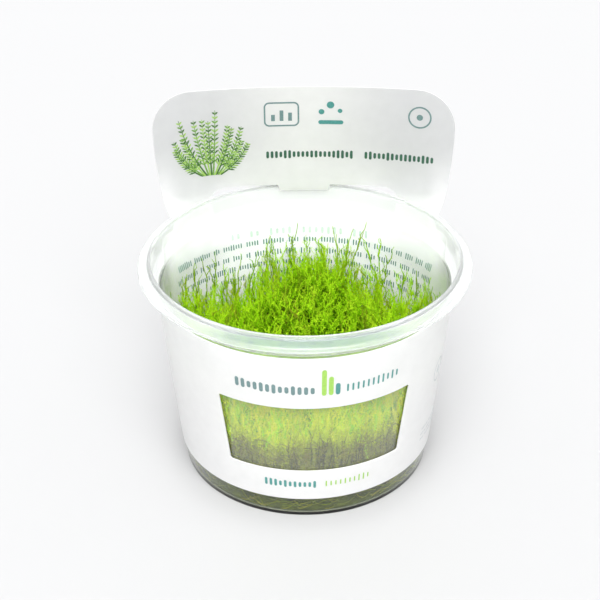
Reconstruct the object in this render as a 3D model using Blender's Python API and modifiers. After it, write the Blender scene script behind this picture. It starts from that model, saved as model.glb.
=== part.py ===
"""A clear culture cup with a printed card wrap, a disc of agar gel and a cushion of creeping feather moss.

Metres, +Z up. The origin is the centre of the cup's underside. The card's window faces -Y, and its header
stands up behind the rim at +Y.
"""

import math

import bmesh
import bpy
from mathutils import Vector, noise

# Clearance between touching pieces
GAP = 0.0003

# Cup: the wall is a cone whose outer radius grows by WALL_TAPER for each unit of height
BASE_RADIUS = 0.0420
WALL_TAPER = 0.095
WALL = 0.0008
FOOT_RADIUS = 0.0387
FOOT_RECESS = 0.0003
FLOOR_TOP = 0.0010
FLOOR_FILLET = 0.0006
FOOT_ROUND = 0.0008
LEDGE_BOTTOM = 0.0672
LEDGE_TOP = 0.0692
LEDGE_EDGE = 0.0008
LIP_TOP = 0.0760
LIP_INNER_RADIUS = 0.0504
LIP_OUTER_RADIUS = 0.0511
LIP_ROUND = 0.0006
SKIRT_RADIUS = 0.0549
SKIRT_BOTTOM = 0.0723
SKIRT_ROUND = 0.0010
FLANGE = 0.0007
FLANGE_ROOT_DROP = 0.0013
TURNED_STEPS = 60

# Gel
GEL_TOP = 0.0120
GEL_MENISCUS = 0.0008
MENISCUS_WIDTH = 0.0035

# Moss cushion
MOSS_WALL_GAP = 0.0005
MOSS_CROWN = 0.0630
MOSS_SHOULDER = 0.0575
MOSS_SHOULDER_ROUND = 0.0060
HUMMOCK_HEIGHT = 0.0022
HUMMOCK_SPACING = 0.0150
MOSS_STEPS = 44
MOSS_SEED = 7.3

# Card: heights on the band and the header, and widths along the sheet from the middle of the back
CARD = 0.0004
BAND_BOTTOM = 0.0081
BAND_TOP = 0.06635
HEADER_TOP = 0.1144
HEADER_HALF_WIDTH = 0.0525
HEADER_CORNER = 0.0135
SIDE_ARC_RADIUS = 0.155
SIDE_ARC_START = 0.1000
SHOULDER_FILLET = 0.0030
SLOT_TOP = LIP_TOP + GAP
SLOT_HALF_WIDTH = 0.0334
SLOT_CORNER = 0.0045
SLOT_FOOT_CORNER = 0.0012
TONGUE_BOTTOM = 0.07385
TONGUE_HALF_WIDTH = 0.0086
TONGUE_ROOT_HALF_WIDTH = 0.0093

# Card window, by its angles round the cup from the back
WINDOW_ANGLE = math.radians(176)
WINDOW_TOP_HALF_ANGLE = math.radians(39.9)
WINDOW_BOTTOM_HALF_ANGLE = math.radians(37.7)
WINDOW_BOTTOM = 0.0204
WINDOW_TOP = 0.0468
WINDOW_CORNER = 0.0008

# Card seam: the outer end is glued over the inner end, on the left towards the back
SEAM_INNER_END = math.radians(-86)
SEAM_OUTER_END = math.radians(284)
SEAM_RAMP_START = math.radians(260)
SEAM_RAMP = math.radians(12)
SEAM_GAP = 0.00015

# Header sheet: where it stands, its lean towards the front and its bow at two heights
HEADER_FACE_Y = 0.0488
HEADER_LEAN = math.tan(math.radians(3))
BOW_AT_SLOT = 1 / 0.150
BOW_AT_TOP = 1 / 0.200
LIFT_START = 0.0560
LIFT_END = 0.0750
LIFT_INNER = 0.0150

# Blank grid: the columns' angle and the rows' heights, closer where the card lifts off the cup
COLUMN_ANGLE = math.radians(5)
BLANK_MARGIN = 0.0020
ROWS = (0.0470, 0.0560, 0.0600, 0.0635, 0.06635, 0.0695, 0.0728, 0.0763, 0.0860, 0.0990)
CUTTER_REACH = 0.0010


def clear_scene():
    for obj in list(bpy.data.objects):
        bpy.data.objects.remove(obj)
    for found in list(bpy.data.collections):
        bpy.data.collections.remove(found)


def new_collection(name):
    made = bpy.data.collections.new(name)
    bpy.context.scene.collection.children.link(made)
    return made


def new_material(name, color, roughness, metallic=0.0, alpha=1.0):
    material = bpy.data.materials.new(name)
    material.use_nodes = True
    shader = material.node_tree.nodes["Principled BSDF"]
    shader.inputs["Base Color"].default_value = (*color, 1)
    shader.inputs["Roughness"].default_value = roughness
    shader.inputs["Metallic"].default_value = metallic
    shader.inputs["Alpha"].default_value = alpha
    return material


def add_object(name, data, collection, material=None):
    obj = bpy.data.objects.new(name, data)
    collection.objects.link(obj)
    if material:
        data.materials.append(material)
    return obj


def arc(centre, radius, start, end, steps):
    """Points on an arc, from one angle in degrees to the other."""
    angles = [math.radians(start + (end - start) * i / steps) for i in range(steps + 1)]
    return [(centre[0] + radius * math.cos(a), centre[1] + radius * math.sin(a)) for a in angles]


def smoothstep(value):
    value = min(max(value, 0.0), 1.0)
    return value * value * (3 - 2 * value)


def wall_radius(z):
    """The cup's outer radius at a height on its wall."""
    return BASE_RADIUS + WALL_TAPER * z


def turned(name, profile, steps, collection, material):
    """A solid of revolution about Z, from a profile that starts and ends on the axis."""
    mesh = bpy.data.meshes.new(name)
    points = [(r, 0, z) for r, z in profile]
    mesh.from_pydata(points, [(i, i + 1) for i in range(len(points) - 1)], [])
    obj = add_object(name, mesh, collection, material)
    screw = obj.modifiers.new("turn", "SCREW")
    screw.axis = "Z"
    screw.steps = steps
    screw.render_steps = steps
    screw.use_merge_vertices = True
    screw.merge_threshold = 0.00005
    screw.use_smooth_shade = True
    return obj


def cup_profile():
    """From the floor's middle up the inner side, over the lip and the flange, and down to the foot."""
    inner_foot = wall_radius(FLOOR_TOP + FLOOR_FILLET) - WALL
    floor_arc = arc((inner_foot - FLOOR_FILLET, FLOOR_TOP + FLOOR_FILLET), FLOOR_FILLET, -90, -5, 3)
    inner_top = wall_radius(LEDGE_BOTTOM) - WALL
    ledge = [
        (inner_top, LEDGE_BOTTOM),
        (inner_top + LEDGE_EDGE / 2, LEDGE_BOTTOM + LEDGE_EDGE),
        (LIP_INNER_RADIUS - LEDGE_EDGE, LEDGE_TOP),
        (LIP_INNER_RADIUS - LEDGE_EDGE / 4, LEDGE_TOP + LEDGE_EDGE),
    ]
    lip = arc((LIP_INNER_RADIUS + LIP_ROUND, LIP_TOP - LIP_ROUND), LIP_ROUND, 180, 60, 4)
    flange = arc((SKIRT_RADIUS - SKIRT_ROUND, SKIRT_BOTTOM + SKIRT_ROUND), SKIRT_ROUND, 62, 0, 3)
    skirt = [
        (SKIRT_RADIUS, SKIRT_BOTTOM),
        (SKIRT_RADIUS - FLANGE, SKIRT_BOTTOM),
        (SKIRT_RADIUS - 1.3 * FLANGE, SKIRT_BOTTOM + LEDGE_EDGE),
        (LIP_INNER_RADIUS + 2 * LIP_ROUND, LIP_TOP - LIP_ROUND - FLANGE_ROOT_DROP),
    ]
    under_ledge = [
        (LIP_OUTER_RADIUS, LEDGE_TOP + LEDGE_EDGE / 4),
        (LIP_OUTER_RADIUS - LEDGE_EDGE, LEDGE_TOP - LEDGE_EDGE),
        (wall_radius(LEDGE_BOTTOM) + LEDGE_EDGE / 2, LEDGE_BOTTOM - LEDGE_EDGE / 8),
        (wall_radius(LEDGE_BOTTOM - LEDGE_EDGE), LEDGE_BOTTOM - LEDGE_EDGE),
    ]
    foot_centre = (wall_radius(FOOT_ROUND) - FOOT_ROUND, FOOT_ROUND)
    foot = arc(foot_centre, FOOT_ROUND, -5, -90, 3)
    recess = [(FOOT_RADIUS, 0), (FOOT_RADIUS - FOOT_RECESS, FOOT_RECESS), (0, FOOT_RECESS)]
    return [(0, FLOOR_TOP)] + floor_arc + ledge + lip + flange + skirt + under_ledge + foot + recess


def make_cup(collection):
    material = new_material("clear_polypropylene", (0.86, 0.90, 0.88), 0.08, alpha=0.3)
    return turned("cup", cup_profile(), TURNED_STEPS, collection, material)


def make_gel(collection):
    """A disc poured into the cup, standing a little higher where it meets the wall."""
    material = new_material("agar_gel", (0.46, 0.48, 0.30), 0.15, alpha=0.6)
    low = FLOOR_TOP + GAP
    rim = GEL_TOP + GEL_MENISCUS
    side = wall_radius(0) - WALL - GAP
    corner = side + WALL_TAPER * (low + FLOOR_FILLET)
    profile = [
        (0, GEL_TOP),
        (side + WALL_TAPER * rim - MENISCUS_WIDTH, GEL_TOP),
        (side + WALL_TAPER * rim - MENISCUS_WIDTH / 3, GEL_TOP + GEL_MENISCUS / 4),
        (side + WALL_TAPER * rim, rim),
    ]
    profile += arc((corner - FLOOR_FILLET, low + FLOOR_FILLET), FLOOR_FILLET, -5, -90, 3)
    profile.append((0, low))
    return turned("gel", profile, TURNED_STEPS, collection, material)


def moss_profile():
    """From the crown out to the rounded shoulder, down beside the wall and in over the gel."""
    side = wall_radius(0) - WALL - MOSS_WALL_GAP
    shoulder_height = MOSS_SHOULDER - MOSS_SHOULDER_ROUND
    shoulder_radius = side + WALL_TAPER * shoulder_height - MOSS_SHOULDER_ROUND
    crown = []
    for i in range(6):
        share = i / 6
        crown.append((shoulder_radius * share, MOSS_CROWN - (MOSS_CROWN - MOSS_SHOULDER) * share ** 2))
    shoulder = arc((shoulder_radius, shoulder_height), MOSS_SHOULDER_ROUND, 90, 5, 3)
    low = GEL_TOP + GEL_MENISCUS + GAP
    sides = [(side + WALL_TAPER * z, z) for z in (0.040, 0.026, low)]
    return crown + shoulder + sides + [(0.020, low), (0, low)]


def raise_hummocks(mesh):
    """The grown top is uneven: low rounded hummocks, which fade out below the shoulder."""
    for vertex in mesh.vertices:
        share = smoothstep((vertex.co.z - 0.045) / 0.010)
        if share > 0:
            place = Vector((vertex.co.x, vertex.co.y, 0)) / HUMMOCK_SPACING
            vertex.co.z += HUMMOCK_HEIGHT * share * noise.noise(place + Vector((MOSS_SEED, 0, 0)))


def make_moss(collection):
    material = new_material("creeping_moss", (0.33, 0.48, 0.06), 0.75)
    turned_moss = turned("moss_blank", moss_profile(), MOSS_STEPS, collection, material)
    graph = bpy.context.evaluated_depsgraph_get()
    mesh = bpy.data.meshes.new_from_object(turned_moss.evaluated_get(graph))
    mesh.name = "moss_cushion"
    bpy.data.objects.remove(turned_moss)
    raise_hummocks(mesh)
    return add_object("moss_cushion", mesh, collection)


def cutter_from_outline(name, outline, collection):
    """A closed block of the outline, in X and Z, that reaches past both faces of the flat card."""
    curve = bpy.data.curves.new(name, "CURVE")
    curve.dimensions = "2D"
    curve.fill_mode = "BOTH"
    curve.extrude = CARD / 2 + CUTTER_REACH
    spline = curve.splines.new("POLY")
    spline.points.add(len(outline) - 1)
    for point, (s, z) in zip(spline.points, outline):
        point.co = (s, z, 0, 1)
    spline.use_cyclic_u = True
    curved = add_object(name + "_curve", curve, collection)
    curved.rotation_euler.x = math.pi / 2
    curved.location.y = CARD / 2
    bpy.context.view_layer.update()
    graph = bpy.context.evaluated_depsgraph_get()
    mesh = bpy.data.meshes.new_from_object(curved.evaluated_get(graph))
    closed = bmesh.new()
    closed.from_mesh(mesh)
    bmesh.ops.remove_doubles(closed, verts=closed.verts, dist=0.000001)
    bmesh.ops.recalc_face_normals(closed, faces=closed.faces)
    closed.to_mesh(mesh)
    closed.free()
    cutter = add_object(name, mesh, collection)
    cutter.matrix_world = curved.matrix_world.copy()
    bpy.data.objects.remove(curved)
    cutter.hide_render = True
    cutter.display_type = "WIRE"
    return cutter


def along(angle):
    """An angle round the cup as a length along the flat card."""
    return angle * (wall_radius(BAND_TOP) + GAP)


def header_half_width(z):
    """The header's sides draw in along an arc towards the band."""
    drop = max(SIDE_ARC_START - z, 0)
    return HEADER_HALF_WIDTH - drop * drop / (2 * SIDE_ARC_RADIUS)


def blank_outline():
    """The flat card's outline: the band, with the header on its upper edge."""
    foot = BAND_TOP + SHOULDER_FILLET
    side_steps = 5
    heights = [foot + (SIDE_ARC_START - foot) * i / side_steps for i in range(side_steps + 1)]
    right = arc((header_half_width(foot) + SHOULDER_FILLET, foot), SHOULDER_FILLET, 270, 180, 4)[:-1]
    right += [(header_half_width(z), z) for z in heights]
    corner_centre = (HEADER_HALF_WIDTH - HEADER_CORNER, HEADER_TOP - HEADER_CORNER)
    right += arc(corner_centre, HEADER_CORNER, 0, 90, 7)
    left = [(-s, z) for s, z in reversed(right)]
    start = along(SEAM_INNER_END)
    end = along(SEAM_OUTER_END)
    return [(start, BAND_BOTTOM), (end, BAND_BOTTOM), (end, BAND_TOP)] + right + left + [(start, BAND_TOP)]


def slot_outline():
    """The slot that the rim goes through, with the tongue hanging from its upper edge."""
    low, high = SLOT_FOOT_CORNER, SLOT_CORNER
    right = arc((SLOT_HALF_WIDTH - low, BAND_TOP + low), low, -90, 0, 2)
    right += arc((SLOT_HALF_WIDTH - high, SLOT_TOP - high), high, 0, 90, 4)
    right += [(TONGUE_ROOT_HALF_WIDTH, SLOT_TOP), (TONGUE_HALF_WIDTH, TONGUE_BOTTOM)]
    left = [(-s, z) for s, z in reversed(right)]
    return right + left


def window_outline():
    """A window with sides that lean in towards the bottom, and small rounded corners."""
    middle = along(WINDOW_ANGLE)
    top = along(WINDOW_TOP_HALF_ANGLE)
    bottom = along(WINDOW_BOTTOM_HALF_ANGLE)
    c = WINDOW_CORNER
    right = arc((bottom - c, WINDOW_BOTTOM + c), c, -90, 0, 2) + arc((top - c, WINDOW_TOP - c), c, 0, 90, 2)
    left = [(-s, z) for s, z in reversed(right)]
    return [(middle + s, z) for s, z in right + left]


def flat_blank(collection):
    """A flat sheet of the card's thickness in a grid, a little larger than the outline all round."""
    start = along(SEAM_INNER_END) - BLANK_MARGIN
    end = along(SEAM_OUTER_END) + BLANK_MARGIN
    columns = math.ceil((SEAM_OUTER_END - SEAM_INNER_END) / COLUMN_ANGLE)
    heights = (BAND_BOTTOM - BLANK_MARGIN,) + ROWS + (HEADER_TOP + BLANK_MARGIN,)
    sheet = bmesh.new()
    bmesh.ops.create_grid(sheet, x_segments=columns, y_segments=len(heights) - 1, size=0.5)
    for vertex in sheet.verts:
        row = round((vertex.co.y + 0.5) * (len(heights) - 1))
        vertex.co = (start + (end - start) * (vertex.co.x + 0.5), 0, heights[row])
    extruded = bmesh.ops.extrude_face_region(sheet, geom=list(sheet.faces))
    moved = [item for item in extruded["geom"] if isinstance(item, bmesh.types.BMVert)]
    bmesh.ops.translate(sheet, verts=moved, vec=(0, CARD, 0))
    bmesh.ops.recalc_face_normals(sheet, faces=sheet.faces)
    mesh = bpy.data.meshes.new("blank")
    sheet.to_mesh(mesh)
    sheet.free()
    return add_object("blank", mesh, collection)


def header_face(s, z):
    """The header's front face: a sheet bowed forward at its sides, and leaning a little forward."""
    share = (z - SLOT_TOP) / (HEADER_TOP - SLOT_TOP)
    bow = BOW_AT_SLOT + (BOW_AT_TOP - BOW_AT_SLOT) * share
    y = HEADER_FACE_Y - HEADER_LEAN * (z - SLOT_TOP) - (1 - math.cos(s * bow)) / bow
    return Vector((math.sin(s * bow) / bow, y, z))


def band_face(s, z):
    """The band's inner face: it follows the cup's cone, and one end lies over the other at the seam."""
    angle = s / along(1)
    over = smoothstep((angle - SEAM_RAMP_START) / SEAM_RAMP) * (CARD + SEAM_GAP)
    radius = wall_radius(z) + GAP + over
    return Vector((radius * math.sin(angle), radius * math.cos(angle), z))


def card_face(s, z):
    """The whole card's inner face: on the cup up to LIFT_START, then lifting off it into the header."""
    lift = smoothstep((z - LIFT_START) / (LIFT_END - LIFT_START))
    if z < BAND_TOP + 0.0001:
        lift *= smoothstep((abs(s) - LIFT_INNER) / (SLOT_HALF_WIDTH - LIFT_INNER))
    if abs(s) > HEADER_HALF_WIDTH:
        lift *= 1 - smoothstep((abs(s) - HEADER_HALF_WIDTH) / LIFT_INNER)
    if lift == 0:
        return band_face(s, z)
    return band_face(s, z).lerp(header_face(s, z), lift)


def wrap_point(s, depth, z):
    """A point of the flat card, moved to its place on the wrapped card."""
    step = 0.0002
    face = card_face(s, z)
    across = card_face(s + step, z) - card_face(s - step, z)
    upward = card_face(s, z + step) - card_face(s, z - step)
    return face + depth * upward.cross(across).normalized()


def make_card(collection, cutters):
    material = new_material("white_card", (0.93, 0.93, 0.92), 0.45)
    blank = flat_blank(cutters)
    cuts = (
        ("outline", blank_outline(), "INTERSECT"),
        ("window", window_outline(), "DIFFERENCE"),
        ("slot", slot_outline(), "DIFFERENCE"),
    )
    for name, outline, operation in cuts:
        boolean = blank.modifiers.new(name, "BOOLEAN")
        boolean.object = cutter_from_outline(name + "_cutter", outline, cutters)
        boolean.operation = operation
    bpy.context.view_layer.update()
    graph = bpy.context.evaluated_depsgraph_get()
    mesh = bpy.data.meshes.new_from_object(blank.evaluated_get(graph))
    mesh.name = "card_wrap"
    bpy.data.objects.remove(blank)
    faces = bmesh.new()
    faces.from_mesh(mesh)
    bmesh.ops.triangulate(faces, faces=faces.faces)
    for vertex in faces.verts:
        vertex.co = wrap_point(*vertex.co)
    bmesh.ops.recalc_face_normals(faces, faces=faces.faces)
    faces.to_mesh(mesh)
    faces.free()
    mesh.materials.clear()
    card = add_object("card_wrap", mesh, collection, material)
    mesh.shade_smooth()
    mesh.set_sharp_from_angle(angle=math.radians(40))
    return card


def main():
    clear_scene()
    collection = new_collection("moss_in_culture_cup")
    cutters = new_collection("cutters")
    make_cup(collection)
    make_gel(collection)
    make_moss(collection)
    make_card(collection, cutters)


main()
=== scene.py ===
"""The looks of a clear culture cup with a printed card wrap, agar gel and creeping feather moss.

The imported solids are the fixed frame. Each of them is stood for here by finer pieces in the same place.
Metres, +Z up, the card's window towards -Y.
"""

import math
from collections import namedtuple

import bmesh
import bpy
import numpy as np
from mathutils import Matrix, Vector

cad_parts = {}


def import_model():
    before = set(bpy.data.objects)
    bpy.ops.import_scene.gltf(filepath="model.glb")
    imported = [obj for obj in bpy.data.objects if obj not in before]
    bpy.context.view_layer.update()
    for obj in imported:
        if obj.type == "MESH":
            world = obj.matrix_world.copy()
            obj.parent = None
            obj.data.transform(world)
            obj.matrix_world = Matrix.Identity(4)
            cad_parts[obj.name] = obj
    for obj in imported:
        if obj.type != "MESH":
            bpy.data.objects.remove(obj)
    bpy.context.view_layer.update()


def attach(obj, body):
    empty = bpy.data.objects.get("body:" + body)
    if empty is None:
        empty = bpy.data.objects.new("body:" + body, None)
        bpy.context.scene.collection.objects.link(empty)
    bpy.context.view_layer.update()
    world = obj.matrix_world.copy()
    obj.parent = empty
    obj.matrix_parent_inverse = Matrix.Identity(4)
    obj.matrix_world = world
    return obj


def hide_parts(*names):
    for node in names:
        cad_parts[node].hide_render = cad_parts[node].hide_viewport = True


MM = 0.001

# Camera: it looks down at the cup from the front
CAMERA_PLACE = Vector((-1.73, -401.58, 301.49)) * MM
CAMERA_TARGET = Vector((-1.73, 0.0, 57.61)) * MM
CAMERA_LENS = 84.356
CAMERA_ROLL = -0.0077

# Cup, as in the solids
BASE_RADIUS = 42.0 * MM
WALL_TAPER = 0.095
WALL = 0.8 * MM
GAP = 0.3 * MM
FLOOR_TOP = 1.0 * MM
LIP_TOP = 76.0 * MM
CUP_STEPS = 192

# Gel, and its colours as stops of a ramp
GEL_TOP = 12.0 * MM
GEL_MENISCUS = 0.8 * MM
GEL_COLORS = (
    (0.30, (0.024, 0.036, 0.002)),
    (0.48, (0.044, 0.062, 0.003)),
    (0.60, (0.070, 0.093, 0.006)),
    (0.76, (0.130, 0.155, 0.014)),
)

# Card, as in the solids: lengths run along the flat sheet from the middle of the back
CARD = 0.4 * MM
BAND_BOTTOM = 8.1 * MM
BAND_TOP = 66.35 * MM
HEADER_TOP = 114.4 * MM
HEADER_HALF_WIDTH = 52.5 * MM
HEADER_CORNER = 13.5 * MM
SIDE_ARC_RADIUS = 155 * MM
SIDE_ARC_START = 100 * MM
SHOULDER_FILLET = 3.0 * MM
SLOT_TOP = 76.3 * MM
SLOT_HALF_WIDTH = 33.4 * MM
SLOT_CORNER = 4.5 * MM
SLOT_FOOT_CORNER = 1.2 * MM
TONGUE_BOTTOM = 73.85 * MM
TONGUE_HALF_WIDTH = 8.6 * MM
TONGUE_ROOT_HALF_WIDTH = 9.3 * MM
WINDOW_ANGLE = math.radians(176)
WINDOW_TOP_HALF_ANGLE = math.radians(39.9)
WINDOW_BOTTOM_HALF_ANGLE = math.radians(37.7)
WINDOW_BOTTOM = 20.4 * MM
WINDOW_TOP = 46.8 * MM
WINDOW_CORNER = 0.8 * MM
SEAM_INNER_END = math.radians(-86)
SEAM_OUTER_END = math.radians(284)
SEAM_RAMP_START = math.radians(260)
SEAM_RAMP = math.radians(12)
SEAM_GAP = 0.15 * MM
HEADER_FACE_Y = 48.8 * MM
HEADER_LEAN = math.tan(math.radians(3))
BOW_AT_SLOT = 1 / 0.150
BOW_AT_TOP = 1 / 0.200
LIFT_START = 56 * MM
LIFT_END = 75 * MM
LIFT_INNER = 15 * MM
CARD_CELL = 1.6 * MM
FLAT_PER_RADIAN = BASE_RADIUS + WALL_TAPER * BAND_TOP + GAP

# Whiteness of the card's outside and inside. The inside is whiter: painted light that lifts the shade inside
# the cup
CARD_OUTSIDE = (0.92, 0.92, 0.915)
CARD_INSIDE = (0.97, 0.97, 0.965)

# Print: how far the ink stands off the card, how straight rows curve on the cone, and the height, width and
# step in millimetres of the strokes in the row that shows through
INK_LOW = 0.02 * MM
INK_HIGH = 0.06 * MM
INK_CELL = 1.4 * MM
PRINT_RISE_RADIUS = 509
PRINT_RISE_ANGLE = math.sin(math.atan(WALL_TAPER))
BACK_ROW_SIZE = (2.8, 0.9, 2.3)

# How clear the plastic is, at shares of its height and in the flange
CLEARNESS = ((0.0, 1.0), (0.22, 0.997), (0.84, 0.997), (0.92, 0.80), (1.0, 0.74))
FLANGE_START = 51.3 * MM
FLANGE_CLEARNESS = 0.87

# The flange grows milkier to the back, between two places in y, except where x and y are both past limits of
# their own
BACK_MILK = 0.30
BACK_MILK_RISE = (-20 * MM, 25 * MM)
SPARED_OUT = (31 * MM, 37 * MM)
SPARED_BACK = (18 * MM, 28 * MM)

# Faint milky veil in front of the window: a painted reflection
REFLECTION_VEIL = 0.040
REFLECTION_VEIL_MIDDLE = 2.4 * MM
REFLECTION_VEIL_HALF_WIDTH = 26.6 * MM

# Tints of the plastic: clear, at the foot by the gel, in the rim, and painted shade in a band of the flange,
# stronger to the front, for the shade beneath it
PLASTIC = (0.990, 1.000, 0.995)
FOOT_TINT = (0.42, 0.46, 0.30)
FOOT_TINT_TOP = 2.2 * MM
RIM_TINT = (0.975, 0.99, 0.985)
RIM_TINT_RISE = (67 * MM, 72 * MM)
FLANGE_PAINTED_SHADE = (0.60, 0.70, 0.67)
FLANGE_PAINTED_SHADE_RISE = (42 * MM, 52 * MM)
FLANGE_PAINTED_SHADE_BAND = (50.9 * MM, 51.8 * MM, 53.8 * MM, 54.7 * MM)

# Painted shade put into the card's inner colour: over the header, deeper to its top and sides, and in a band
# at both sides below it
SHADE_RISE = (66 * MM, 97 * MM)
SHADE_REACH = 38 * MM
SHADE_MIDDLE = (0.87, 0.87, 0.865)
SHADE_SIDE = (0.71, 0.71, 0.725)
SHADE_FOOT = (48 * MM, 61 * MM)
SHADE_FOOT_SIDE = (0.80, 0.815, 0.80)
SHADE_FOOT_BAND = (20 * MM, 36 * MM, 42 * MM, 49 * MM)

# Moss: the mound behind the middle and the thin places beside it, as a place and a size in millimetres, the
# steps between shoots in the low, close and loose layers, and the heights at which the wall bounds these
MOUND = (1, 20)
MOUND_SIZE = (14, 16)
LEFT_DIP = (-25, 33)
RIGHT_DIP = (31, 33)
DIP_SIZE = (15, 19)
LOW_SPACING = 2.7 * MM
TURF_SPACING = 2.3 * MM
THIN_SPACING = 2.8 * MM
TURF_EDGE = 45 * MM
THIN_EDGE = 50 * MM

# Small dark hollows between the shoots, as a place and a size in millimetres
HOLLOWS = (
    (-2.5, 23, 2.8),
    (-7.5, -6, 2.6),
    (-1.5, 17, 2.2),
    (-14.5, 0, 1.8),
    (11, 10, 1.8),
    (-25, 3, 1.8),
)
HOLLOW_DEPTH = 9 * MM

# How much darker a stem is than its leaves, how much its radius shrinks to the tip, how wide half a leaf is
# for its length, how tones run along a leaf and a shoot and differ between leaves, and the wall's clearance.
# Along a shoot, leaves darken to the root: older growth, and partly painted shade
STEM_DARKER = 0.24
STEM_TAPER = 0.6
LEAF_HALF_WIDTH = 0.24
LEAF_CONTRAST = 0.17
SHOOT_CONTRAST = 0.20
LEAF_SPREAD = 0.07
WALL_MARGIN = 0.9 * MM

# Leaf colours from old to young, a scale that also carries painted shade and painted light: where they lie
# on the scale of tones, in the open and behind the wall, and the colours of worn leaves. The colours behind
# the wall
# are a lighter, yellower copy: painted light where the window lets light in
LEAF_TONE_PLACES = (0.02, 0.32, 0.62, 0.92)
LEAF_TONES = ((0.025, 0.080, 0.001), (0.155, 0.370, 0.002), (0.420, 0.820, 0.005), (0.680, 0.990, 0.030))
PAINTED_LIT_TONES = ((0.060, 0.070, 0.003), (0.280, 0.320, 0.010), (0.740, 0.900, 0.010), (0.970, 1.000, 0.040))
LEAF_WORN = (0.42, 0.38, 0.04)
PAINTED_LIT_WORN = (0.72, 0.66, 0.12)

# The inside of the cushion: colours low down, at the sides and above, each from dark to light, and where the
# higher and the outer ones take over. The light green at the sides is painted light near the window, and the
# dark colours above are painted shade deep between the shoots
DEPTH_PLACES = (0.30, 0.50, 0.70)
DEPTH_COLORS = (
    ((0.100, 0.120, 0.010), (0.240, 0.280, 0.030), (0.440, 0.480, 0.070)),
    ((0.320, 0.460, 0.010), (0.620, 0.800, 0.020), (0.820, 0.950, 0.050)),
    ((0.035, 0.100, 0.001), (0.080, 0.200, 0.002), (0.160, 0.340, 0.006)),
)
DEPTH_GREEN_RISE = (22 * MM, 34 * MM)
DEPTH_SIDE_RISE = (36 * MM, 39 * MM)

# Tallest shoots, in millimetres: the tip's place, how far the foot is to its side, and its bow to the side
TALL_SHOOTS = (
    (-2.9, 38, 66.0, -3.0, 0.5),
    (-12.4, 34, 63.5, -5.0, 1.5),
    (-22.4, 28, 59.5, -4.0, 1.0),
    (-31.0, 29, 60.0, -1.0, -1.0),
    (-35.5, 26, 58.8, 0.8, 0.5),
    (-38.5, 22, 55.8, -0.3, 0.8),
    (-42.5, 13, 56.5, 0.0, 0.6),
    (-45.2, 6, 57.5, 0.4, 0.5),
    (-42.6, 1, 54.0, 0.2, -0.4),
    (-41.8, 17, 57.5, 0.6, -0.7),
    (-38.6, 24, 58.5, -0.9, 0.8),
    (-41.0, 8, 57.0, -0.6, 0.6),
    (-40.2, -3, 53.0, 0.5, -0.3),
    (-28.3, 31, 53.5, 0.5, -0.5),
    (-16.5, 30, 60.0, -4.0, -1.5),
    (10.4, 37, 65.6, 5.0, -1.8),
    (17.0, 36, 65.0, -4.0, -1.6),
    (20.5, 33, 65.2, -3.0, -4.0),
    (20.2, 34, 62.5, 7.0, 2.5),
    (26.3, 32, 63.2, -1.5, 1.8),
    (29.2, 30, 58.0, -5.0, 1.5),
    (34.0, 28, 55.4, 1.0, 0.8),
    (38.6, 20, 57.0, -0.6, 0.5),
    (42.6, 14, 58.2, -0.8, 0.5),
    (43.5, 10, 56.5, -0.8, 0.4),
    (45.6, 4, 58.0, -0.6, -0.4),
    (43.2, -1, 55.0, 0.0, 0.5),
    (41.6, 6, 58.0, 0.8, -0.5),
    (40.4, 1, 55.0, -0.9, 0.3),
    (5.8, 33, 61.0, 0.5, 1.0),
    (12.5, 30, 60.5, 3.0, -1.5),
)

# Light: even light from all round, soft lamps, each with a name, a direction, a spread in degrees and a
# strength, and the floor
WORLD_COLOR = (0.98, 0.985, 1.0, 1)
WORLD_LIGHT = 1.0
LAMPS = (
    ("front", (0.15, -1.0, 1.1), 50, 1.5),
    ("above", (-0.1, -0.55, 1.0), 40, 1.3),
)
FLOOR_COLOR = (0.57, 0.57, 0.57, 1)
FLOOR_HALF = 6.0
FLOOR_DROP = 0.05 * MM

# Turn from leaf to leaf in radians, and the seed of all random draws
GOLDEN_ANGLE = 2.39996
SEED = 20


# Materials


def put(socket, value):
    """Links an input to another node's output, or sets it to a value."""
    if isinstance(value, bpy.types.NodeSocket):
        socket.id_data.links.new(value, socket)
    elif value is not None:
        socket.default_value = value


def fill(node, settings):
    """Sets a node's inputs by name, and its properties where the name isn't an input."""
    for name, value in settings.items():
        socket = name.replace("_", " ")
        if socket in node.inputs:
            put(node.inputs[socket], value)
        else:
            setattr(node, name, value)
    return node


def node_of(tree, kind, *inputs, **settings):
    """A new node, with its first inputs in order and the others by name."""
    node = fill(tree.nodes.new(kind), settings)
    for socket, value in zip(node.inputs, inputs):
        put(socket, value)
    return node


def new_material(name, **inputs):
    material = bpy.data.materials.new(name)
    material.use_nodes = True
    return material, material.node_tree, fill(material.node_tree.nodes["Principled BSDF"], inputs)


def object_place(tree, scale=(1, 1, 1)):
    """Object coordinates, scaled."""
    place = node_of(tree, "ShaderNodeTexCoord").outputs["Object"]
    return node_of(tree, "ShaderNodeMapping", place, Scale=scale).outputs["Vector"]


def object_axes(tree):
    """Object coordinates as three separate values."""
    place = node_of(tree, "ShaderNodeTexCoord").outputs["Object"]
    parts = node_of(tree, "ShaderNodeSeparateXYZ", place)
    return parts.outputs["X"], parts.outputs["Y"], parts.outputs["Z"]


def noise_at(vector, scale, detail=2.0, roughness=0.55):
    settings = {"Vector": vector, "Scale": scale, "Detail": detail, "Roughness": roughness}
    return node_of(vector.id_data, "ShaderNodeTexNoise", **settings).outputs["Fac"]


def ramp_of(value, stops):
    """A colour ramp. Each stop is a position and a colour."""
    ramp = node_of(value.id_data, "ShaderNodeValToRGB", value)
    elements = ramp.color_ramp.elements
    while len(elements) < len(stops):
        elements.new(0.5)
    for element, (position, color) in zip(elements, stops):
        element.position = position
        element.color = (*color, 1)
    return ramp.outputs["Color"]


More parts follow.
